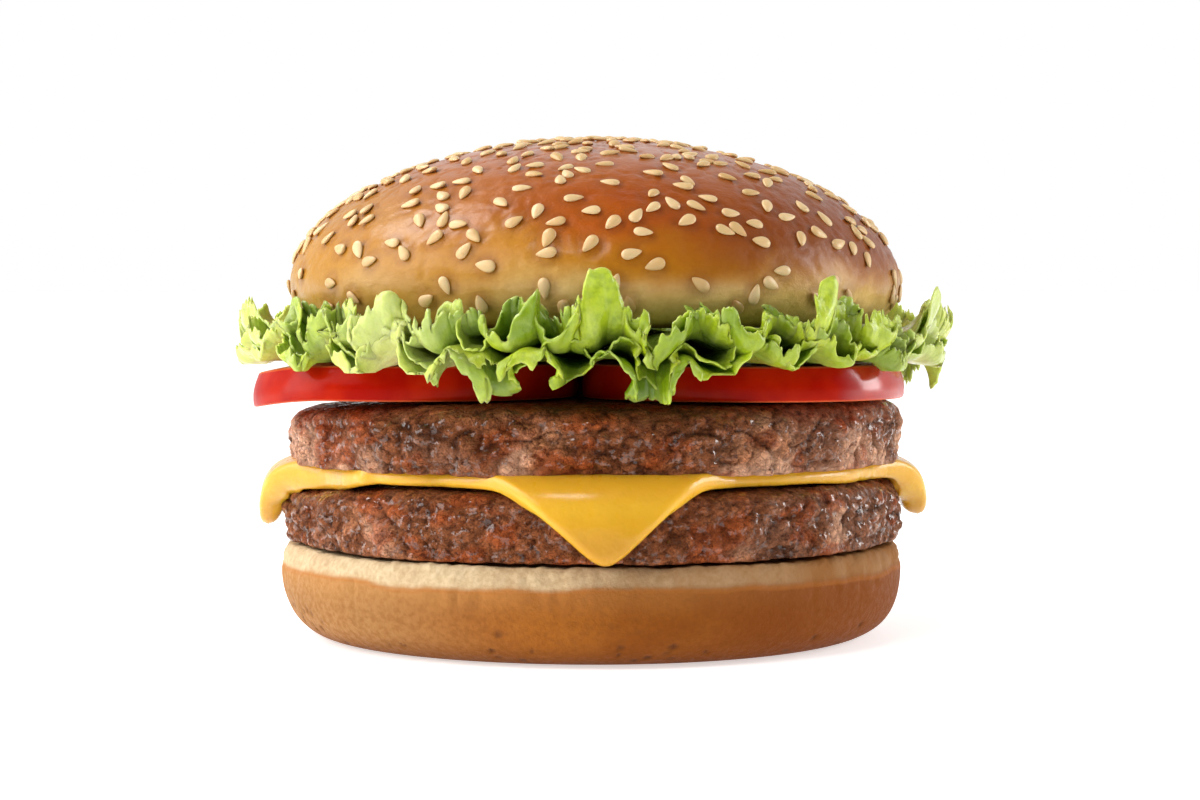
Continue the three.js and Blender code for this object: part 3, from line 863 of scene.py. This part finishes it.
def leaf_veins(arc, frill, salt):
    """Ribs that run out to the margin and branch, as a number from 0 to 1."""
    bent = arc + 2.2 * (noise(arc / 8, frill * 2, salt + 5) - 0.5) * frill
    main = np.exp(-((np.abs((bent / 6.0) % 1 - 0.5) * 6.0 / 0.4) ** 2))
    slanted = bent + 2.5 * frill * np.sign((bent / 6.0) % 1 - 0.5)
    branch = np.exp(-((np.abs((slanted / 1.7) % 1 - 0.5) * 1.7 / 0.16) ** 2)) * smooth(frill, 0.1, 0.5)
    return np.clip(main * (1 - 0.5 * frill) + 0.5 * branch, 0, 1)


def keep_clear(surface, upper):
    """Holds a leaf's frill inside the burger's own width, and off the crown, the tomato and the meat."""
    radius, z = radius_of(surface), surface[..., 2]
    azimuth = azimuth_of(surface)
    most = LEAF["reach"] - 3 * layered(surface, 5, 2, 31.0)
    start = most - 4
    radius = np.where(radius > start, start + 4 * np.tanh((radius - start) / 4), radius)
    lip, dome = crown_profile()
    profile = np.array(lip + dome[1:])
    wall = np.interp(z, profile[:, 1], profile[:, 0], left=0) * crown_swell(azimuth, z) + 0.5
    held = np.where(z > CROWN_Z - 0.3, np.maximum(radius, wall), radius)
    edge = tomato_edge(azimuth) + 0.5
    floor = LETTUCE_Z + 0.35
    low = (z < floor) & (held < edge) & (radius > 44)
    over = low & (floor - z < edge - held)
    z = np.where(over, floor, z)
    held = np.where(low & ~over, edge, held)
    z = np.maximum(z, lerp(floor - 1.3, TOMATO_Z + 0.4, drooping(azimuth)))
    scale = held / np.maximum(radius_of(surface), 1)
    return np.stack([surface[..., 0] * scale, surface[..., 1] * scale, z], axis=-1)


def lettuce_look():
    look = Look("lettuce", Specular_IOR_Level=0.2, Coat_Weight=0.35, Coat_Roughness=0.13)
    look.soften(0.4, 0.0012, (0.8, 1.0, 0.2))
    fine = look.speckle(1.2, 4)
    tone = look.value("tone")
    green = look.mix(look.span(tone, 0.3, 0.7), (0.205, 0.305, 0.003), (0.44, 0.54, 0.012))
    green = look.mix(look.span(fine, 0.4, 0.7, 0, 0.5), green, (0.15, 0.24, 0.004))
    light = look.value("light")
    root = look.ramp("frill", 0.7, 0.15)
    root = look.math("MULTIPLY", root, look.span(light, 0, 1, 0.25, 0.7))
    green = look.mix(root, green, (0.7, 0.76, 0.34))
    green = look.mix(look.share("vein", 0.25), green, (0.66, 0.72, 0.25))
    # Painted shade: the leaves darker deeper inside the frill, less where painted light is.
    shaded = look.math("MULTIPLY", look.value("deep"), look.span(light, 0, 1, 0.8, 0.1))
    green = look.mix(shaded, green, (0.075, 0.15, 0.003))
    # Painted light at the sides and right of the front, with the paler leaf at the left of the front.
    green = look.mix(look.share("light", 0.42), green, (0.8, 0.82, 0.37))
    green = look.mix(look.share("margin", 0.25), green, (0.66, 0.76, 0.25))
    look.set("Base Color", green)
    look.roughen(0.26, 0.42, 3)
    look.bumps((look.pebbles(1.5, "SMOOTH_F1"), 0.2), (look.speckle(2.8, 3), 0.5))
    return look.material


# Crown and its seeds


CROWN = {"radius": 49.7, "base": 41.5, "wide": 7.1, "height": 30.2, "dome": 1.92, "lip": 2.2}
SEED = {"length": 3.25, "width": 1.8, "thickness": 0.9, "fused": 97, "more": 480, "apart": 2.1}
# Share of the seeds that lie below the crown's widest ring, and how far down they go
LOW_SEEDS, LOWEST_SEED = 0.12, 1.45
PLASTIC = 1.324717957244746


def crown_profile():
    """The crown's outline above its flat base, as radius and height: the part up to the widest ring, and
    the part from there to the top."""
    wide = (CROWN["radius"], CROWN_Z + CROWN["wide"])
    lip = shoulder((CROWN["base"], CROWN_Z), wide, CROWN["lip"])
    return lip, shoulder((0, CROWN_Z + CROWN["height"]), wide, CROWN["dome"], 60)[::-1]


def crown_swell(azimuth, z):
    slow = 0.008 * np.sin(2 * azimuth + 2.2) * np.cos(z / 11)
    return 1 + slow - 0.006 * np.sin(3 * azimuth + 0.6)


def dome_point(azimuth, down):
    """A point of the crown's skin. The way down is 0 at the top, 1 at the widest ring and 2 at the base."""
    turn = np.clip(down, 0, 1) * math.pi / 2
    power = 2 / CROWN["dome"]
    z = CROWN_Z + CROWN["wide"] + (CROWN["height"] - CROWN["wide"]) * np.cos(turn).clip(0) ** power
    radius = CROWN["radius"] * np.sin(turn) ** power
    under = np.clip(down - 1, 0, 1) * math.pi / 2
    power = 2 / CROWN["lip"]
    z = z - CROWN["wide"] * np.sin(under) ** power
    radius = radius - (CROWN["radius"] - CROWN["base"]) * (1 - np.cos(under).clip(0) ** power)
    return around(azimuth, radius * crown_swell(azimuth, z), z)


def seed_places():
    """Azimuth and way down the dome of each seed. The first ones are the solid's, spread evenly by the
    plastic number's sequence; the others lie more densely on top, in loose groups, clear of each other."""
    index = np.arange(1, SEED["fused"] + SEED["more"] + 1)
    azimuth = 2 * math.pi * ((0.5 + index / PLASTIC) % 1)
    fused = index <= SEED["fused"]
    share = (0.5 + index / PLASTIC**2) % 1
    down = 0.97 * share ** np.where(fused, 0.6, 0.86) + 0.01
    below = (share - 1 + LOW_SEEDS) / LOW_SEEDS
    down = np.where(~fused & (below > 0), lerp(1, LOWEST_SEED, below), down)
    place = dome_point(azimuth, down)
    pull = np.stack([layered(place, 9, 2, s) for s in (1.0, 7.0)], axis=-1) - 0.5
    azimuth = azimuth + ~fused * 0.3 * pull[:, 0] / np.maximum(np.sin(down * 1.5), 0.3)
    down = np.clip(down + ~fused * 0.16 * pull[:, 1], 0.02, LOWEST_SEED)
    place = dome_point(azimuth, down)
    kept = []
    for number, spot in enumerate(place):
        crowd = np.linalg.norm(place[kept] - spot, axis=-1) if kept else np.array([9.0])
        if fused[number] or crowd.min() > SEED["apart"]:
            kept.append(number)
    return azimuth[kept], down[kept]


def seed_shape():
    """One tear drop about the origin, lying flat, its point towards +X, as points and faces."""
    along = np.cos(np.linspace(0, math.pi, 13)[1:-1])
    turn = np.linspace(0, 2 * math.pi, 16, endpoint=False)
    girth = np.sqrt(1 - along**2) * (1 - 0.42 * along)
    across = np.cos(turn) * girth[:, None]
    up = np.sin(turn) * girth[:, None] ** 0.8 * (1 - 0.15 * np.abs(np.cos(turn)))
    body = np.stack([np.broadcast_to(along[:, None], across.shape), across, up], axis=-1) / 2
    rings, sides = across.shape
    grid = np.arange(rings * sides).reshape(rings, sides)
    side = np.roll(grid, -1, axis=1)
    faces = np.stack([grid[:-1], grid[1:], side[1:], side[:-1]], axis=-1).reshape(-1, 4).tolist()
    tip, tail = rings * sides, rings * sides + 1
    faces += [(tip, int(a), int(b)) for a, b in zip(grid[0], side[0])]
    faces += [(tail, int(b), int(a)) for a, b in zip(grid[-1], side[-1])]
    return np.concatenate([body.reshape(-1, 3), [[0.5, 0, 0], [-0.5, 0, 0]]]), faces


def build_seeds(azimuths, downs):
    shape, shape_faces = seed_shape()
    step = 0.01
    middle = dome_point(azimuths, downs)
    east = unit(dome_point(azimuths + step, downs) - dome_point(azimuths - step, downs))
    south = unit(dome_point(azimuths, downs + step) - dome_point(azimuths, downs - step))
    normal = np.cross(south, east)
    index = np.arange(len(azimuths), dtype=float)
    heading = 2 * math.pi * lattice(index, 3, 7)
    long = east * np.cos(heading)[:, None] + south * np.sin(heading)[:, None]
    tilt = 0.25 * (lattice(index, 5, 2) - 0.5)
    long = long + normal * tilt[:, None]
    wide = np.cross(normal, long)
    size = 1 - 0.14 * lattice(index, 1, 9)
    plump = SEED["width"] * (0.92 + 0.16 * lattice(index, 8, 1))
    points = middle[:, None] + normal[:, None] * 0.14
    sizes = (SEED["length"] * size, plump * size, SEED["thickness"] * size)
    for axis, (direction, length) in enumerate(zip((long, wide, normal), sizes)):
        points = points + direction[:, None] * shape[:, axis][None, :, None] * length[:, None, None]
    starts = range(0, len(azimuths) * len(shape), len(shape))
    faces = [[corner + start for corner in face] for start in starts for face in shape_faces]
    values = {
        "tint": np.repeat(lattice(index, 2, 6), len(shape)),
        "height": np.tile(shape[:, 2] * 2, len(azimuths)),
        "tip": np.tile(shape[:, 0] + 0.5, len(azimuths)),
    }
    return make_piece("sesame_seeds", points.reshape(-1, 3), faces, values)


def build_crown(azimuths, downs):
    base = evenly([(0, CROWN_Z), (CROWN["base"], CROWN_Z)], 2.5)
    lip, dome = (evenly(part, 0.6) for part in crown_profile())
    profile = np.concatenate([base[:-1], lip, dome[1:]])
    points, normals, poles, faces = turned(profile, 500)
    swell = crown_swell(azimuth_of(points), points[..., 2])
    points = widened(points, swell)
    height = points[..., 2] - CROWN_Z
    on_skin = smooth(radius_of(points), 42, 44) + smooth(height, 9, 12)
    on_skin = np.clip(on_skin, 0, 1)
    seats = KDTree(len(azimuths))
    for number, place in enumerate(dome_point(azimuths, downs)):
        seats.insert(place, number)
    seats.balance()
    near = np.array([seats.find(p)[2] for p in points.reshape(-1, 3)]).reshape(height.shape)
    dimple = np.exp(-(((near - 1.9) / 0.55) ** 2))
    slow = layered(points, 17, 2, 2.0) - 0.5
    creases = np.abs(layered(points * (1, 1, 1.4), 3.2, 3, 6.0) - 0.5)
    relief = 0.5 * slow - 0.16 * (1 - smooth(creases, 0, 0.08)) - 0.08 * dimple
    points = points + normals * (on_skin * np.minimum(relief, 0.2))[..., None]
    values = {
        "height": height / CROWN["height"],
        # Painted shade: a dark ring round each seed
        "seed_shadow_ring": np.exp(-(((near - 1.5) / 0.7) ** 2)),
        "mottle": layered(points, 11, 4, 4.0),
        "side": 0.5 + 0.5 * np.sin(azimuth_of(points) - 0.1) * smooth(height, 31, 12),
    }
    return make_turned("crown", points, poles, faces, values)


def crown_look():
    look = Look("glazed_crust", Specular_IOR_Level=0.1, Coat_Roughness=0.26)
    height = look.math("ADD", look.value("height"), look.ramp("mottle", 0.2, 0.8, -0.07, 0.07))
    fine = look.speckle(0.8, 4)
    pale = look.mix(fine, (0.7, 0.45, 0.135), (0.88, 0.63, 0.25))
    gold = look.mix(fine, (0.45, 0.155, 0.004), (0.54, 0.225, 0.01))
    brown = look.mix(look.ramp("mottle", 0.3, 0.7), (0.33, 0.051, 0.0003), (0.42, 0.08, 0.001))
    deep = look.mix(fine, (0.31, 0.07, 0.001), (0.4, 0.105, 0.002))
    colour = look.mix(look.span(height, 0.12, 0.36), pale, gold)
    colour = look.mix(look.span(height, 0.32, 0.56), colour, brown)
    colour = look.mix(look.span(height, 0.5, 0.85, 0, 0.8), colour, deep)
    golden = look.mix(fine, (0.36, 0.16, 0.01), (0.43, 0.21, 0.02))
    colour = look.mix(look.ramp("side", 0.5, 0.12, 0, 0.8), colour, golden)
    ruddy = look.mix(fine, (0.17, 0.031, 0.001), (0.24, 0.055, 0.003))
    right = look.ramp("side", 0.45, 0.75, 0, 0.9)
    right = look.math("MULTIPLY", right, look.span(height, 0.14, 0.42))
    colour = look.mix(right, colour, ruddy)
    lip = look.ramp("height", 0.035, 0.0, 0, 0.7)
    colour = look.mix(lip, colour, (0.36, 0.16, 0.04))
    # Painted shade: the crust darker in a ring round each seed.
    colour = look.mix(look.share("seed_shadow_ring", 0.35), colour, (0.2, 0.055, 0.01))
    look.set("Base Color", colour)
    look.roughen(0.3, 0.45, 2.5)
    glaze = look.ramp("side", 0.5, 0.9, 0.4, 0.26)
    glaze = look.math("ADD", glaze, look.ramp("height", 0.7, 1.0, 0, 0.6))
    look.set("Coat Weight", glaze)
    look.bumps((look.speckle(0.45, 4, 0.6), 0.05), (look.speckle(1.7, 4, 0.6, 0.6, (1, 1, 1.5)), 0.16))
    return look.material


def seed_look():
    look = Look("sesame", Specular_IOR_Level=0.45, Subsurface_Weight=0.15, Subsurface_Scale=0.0008)
    colour = look.mix(look.value("tint"), (0.6, 0.37, 0.14), (0.74, 0.53, 0.27))
    colour = look.mix(look.ramp("height", 0.2, -0.3, 0, 0.65), colour, (0.42, 0.2, 0.06))
    colour = look.mix(look.ramp("tip", 0.82, 1.0, 0, 0.45), colour, (0.5, 0.27, 0.09))
    look.set("Base Color", colour)
    look.roughen(0.3, 0.45, 0.7, 2)
    look.bumps((look.speckle(0.5, 3), 0.05))
    return look.material


# Stage, lights and camera


# What the lamps point at and the camera's place, in metres, and the camera's tilt towards the floor
AIM = (0, 0, 0.045)
EYE = (0.001, -0.45, 0.056)
TILT = math.atan(110 / 2745)


def build_floor():
    half = 60000
    corners = [(-half, -half, 0), (half, -half, 0), (half, half, 0), (-half, half, 0)]
    floor = make_piece("floor", corners, [(0, 1, 2, 3)])
    look = Look("floor_white", Roughness=0.8, Specular_IOR_Level=0.1, Emission_Strength=0.55)
    look.set("Emission Color", (1, 1, 1, 1))
    look.set("Base Color", look.mix(look.speckle(80, 2), (0.92, 0.92, 0.92), (0.94, 0.94, 0.94)))
    floor.data.materials.append(look.material)


def add_light(name, place, size, power):
    lamp = bpy.data.lights.new(name, "AREA")
    lamp.shape = "RECTANGLE"
    lamp.size, lamp.size_y = size
    lamp.energy = power
    light = bpy.data.objects.new(name, lamp)
    light.location = place
    light.rotation_euler = (Vector(AIM) - Vector(place)).to_track_quat("-Z", "Y").to_euler()
    bpy.context.scene.collection.objects.link(light)


def light_world():
    """A studio that is bright behind and beside the burger and dark in front of and above it. The
    background itself is plain white from every side."""
    world = bpy.data.worlds.new("studio")
    bpy.context.scene.world = world
    world.use_nodes = True
    nodes = Nodes(world.node_tree)
    place = nodes.node("ShaderNodeTexCoord").outputs["Generated"]
    towards = nodes.node("ShaderNodeSeparateXYZ", {0: place}).outputs
    behind = nodes.span(towards["Y"], -0.75, 0.1, 0.1, 0.88)
    overhead = nodes.span(towards["Z"], 0.5, 0.95, 1.0, 0.27)
    seen = nodes.node("ShaderNodeLightPath").outputs["Is Camera Ray"]
    back = nodes.tree.nodes["Background"].inputs
    nodes.join(nodes.math("MAXIMUM", nodes.math("MULTIPLY", behind, overhead), seen), back["Strength"])
    nodes.join((1, 1, 1, 1), back["Color"])


def add_sun(azimuth, elevation, strength, spread):
    """A wide soft light far away. The angles are in degrees."""
    lamp = bpy.data.lights.new("soft_sky", "SUN")
    lamp.energy = strength
    lamp.angle = math.radians(spread)
    light = bpy.data.objects.new("soft_sky", lamp)
    azimuth, elevation = math.radians(azimuth), math.radians(elevation)
    towards = around(azimuth, math.cos(elevation), math.sin(elevation))
    light.rotation_euler = (-Vector(towards)).to_track_quat("-Z", "Y").to_euler()
    bpy.context.scene.collection.objects.link(light)


def add_camera():
    camera = bpy.data.objects.new("camera", bpy.data.cameras.new("camera"))
    camera.data.sensor_width = 36
    camera.data.lens = 82.35
    camera.data.clip_start = 0.01
    camera.location = EYE
    camera.rotation_euler = (math.pi / 2 - TILT, 0, 0)
    bpy.context.scene.collection.objects.link(camera)
    bpy.context.scene.camera = camera


def add_studio():
    build_floor()
    light_world()
    add_sun(-50, 32, 1.2, 40)
    add_light("softbox_above", (-0.41, 0.12, 0.65), (0.35, 0.35), 3.3)
    add_light("softbox_left", (-0.75, -0.1, 0.25), (0.5, 0.6), 3.4)
    add_light("softbox_front", (-0.08, -0.42, 0.61), (0.14, 0.14), 0.65)
    add_light("softbox_right", (0.75, 0.1, 0.25), (0.26, 0.5), 3.1)
    add_camera()
    bpy.context.scene.view_settings.view_transform = "Standard"


# The burger, from the bottom up

add_studio()
dress(build_heel(), heel_look(), "heel_crust", "heel_bun")
meat = meat_look()
dress(build_patty("patty_lower", *LOWER_PATTY), meat, "meat", "patty_lower")
dress(build_patty("patty_upper", *UPPER_PATTY), meat, "meat", "patty_upper")
dress(build_cheese(), cheese_look(), "cheese", "cheese_slice")
tomato = tomato_look()
for name, slice_ in SLICES.items():
    dress(build_tomato(name, *slice_), tomato, "tomato", name)
lettuce = lettuce_look()
for name, leaf in LEAVES.items():
    dress(build_leaf(name, *leaf), lettuce, "lettuce", name)
seed_azimuths, seed_downs = seed_places()
dress(build_crown(seed_azimuths, seed_downs), crown_look(), "crown_crust", "crown_bun")
dress(build_seeds(seed_azimuths, seed_downs), seed_look(), "crown_crust")
